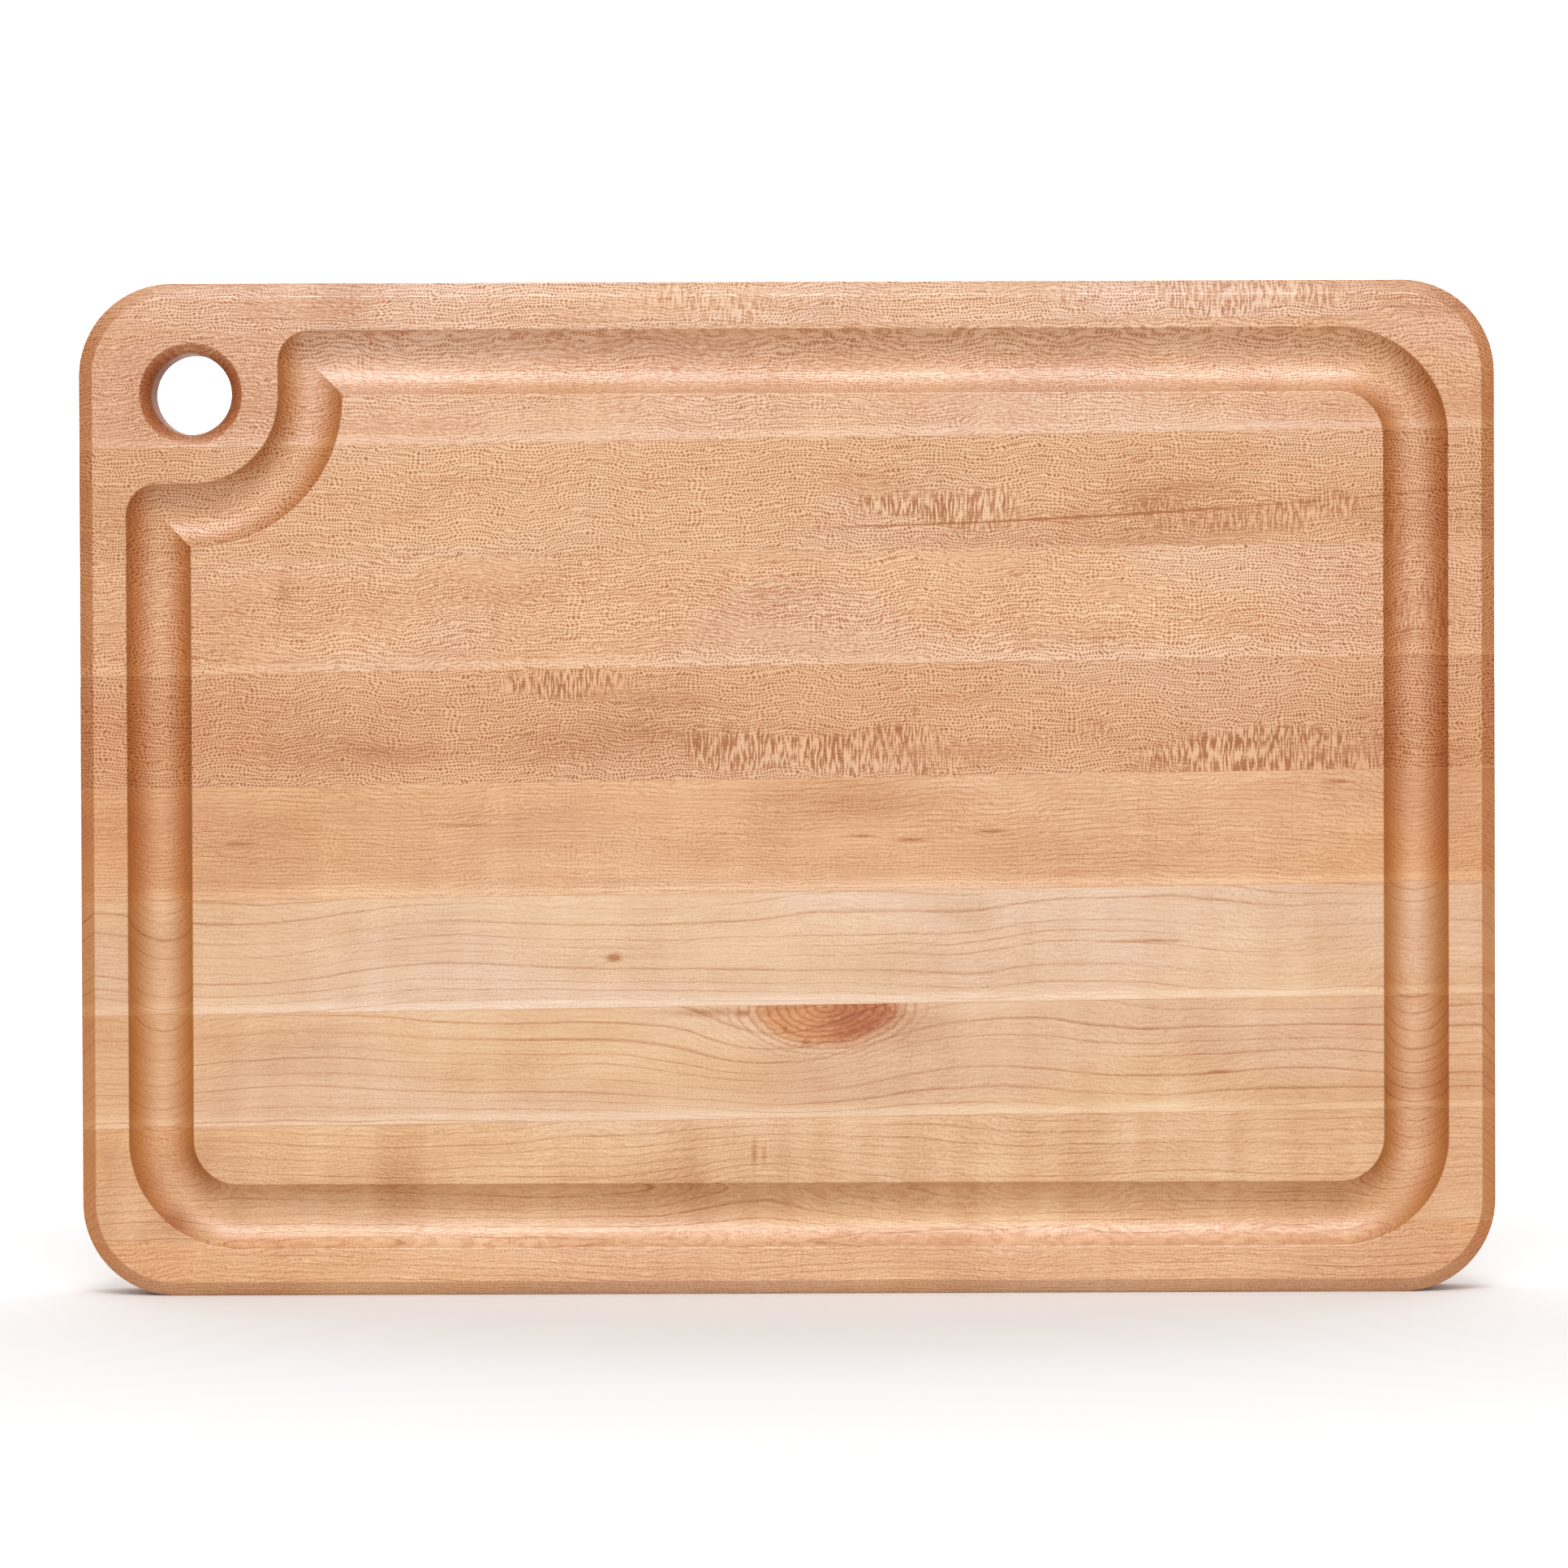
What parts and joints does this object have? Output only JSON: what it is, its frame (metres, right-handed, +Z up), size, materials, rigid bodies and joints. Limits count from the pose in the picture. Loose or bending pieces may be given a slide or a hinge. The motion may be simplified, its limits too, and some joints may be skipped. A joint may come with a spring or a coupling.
{
  "type": "cutting board",
  "caption": "Thick edge-glued maple carving board with rounded corners, bevelled edges, a juice groove round one face and a hanging hole in one corner.",
  "frame": {"origin": "centre of the bottom long edge, which the board stands on", "axes": "+X along the board's length and its grain, +Y from the grooved face to the back face, +Z up across the staves"},
  "size_m": [0.426, 0.038, 0.305],
  "materials": {
    "maple_light": "oiled satin",
    "maple_mid": "oiled satin",
    "maple_dark": "oiled satin",
    "glue_line": "dried wood glue"
  },
  "bodies": {
    "root": {"stave_01": "maple_mid", "stave_02": "maple_mid", "stave_03": "maple_dark", "stave_04": "maple_mid", "stave_05": "maple_dark", "stave_06": "maple_mid", "stave_07": "maple_light", "stave_08": "maple_light", "stave_09": "maple_light", "stave_10": "maple_mid", "glue_line_01": "glue_line", "glue_line_02": "glue_line", "glue_line_03": "glue_line", "glue_line_04": "glue_line", "glue_line_05": "glue_line", "glue_line_06": "glue_line", "glue_line_07": "glue_line", "glue_line_08": "glue_line", "glue_line_09": "glue_line"}
  },
  "joints": []
}
